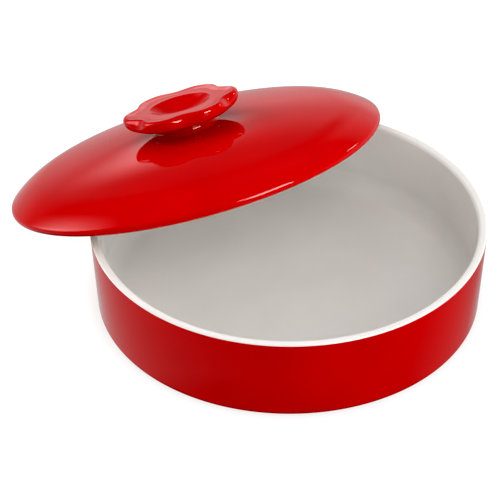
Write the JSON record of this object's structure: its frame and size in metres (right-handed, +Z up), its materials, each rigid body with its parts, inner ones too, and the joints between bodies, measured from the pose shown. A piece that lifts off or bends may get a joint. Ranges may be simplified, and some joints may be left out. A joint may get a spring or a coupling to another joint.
{
  "type": "tortilla warmer",
  "caption": "Round glazed ceramic tortilla warmer: a shallow straight-sided dish with a low domed lid and scalloped knob, shown with the lid leaning on the dish's lip.",
  "frame": {"origin": "centre of the dish's foot ring, on the surface that the dish stands on", "axes": "+Z up along the dish's axis, the lid's low edge lies in the quarter between -X and +Y, behind the dish and to its left as seen along +Y"},
  "size_m": [0.3117, 0.3231, 0.1058],
  "materials": {
    "stoneware": "matte",
    "red_glaze": "gloss",
    "white_glaze": "gloss"
  },
  "bodies": {
    "dish": {"dish": "stoneware", "dish_red_glaze": "red_glaze", "dish_white_glaze": "white_glaze"},
    "lid": {"lid": "stoneware", "lid_red_glaze": "red_glaze", "lid_white_glaze": "white_glaze", "lid_knob": "red_glaze"}
  },
  "joints": [
    {"name": "lid_lift", "type": "slide", "parent": "dish", "child": "lid", "axis": [0, 0, 1], "range_m": [0, 0.12]}
  ]
}
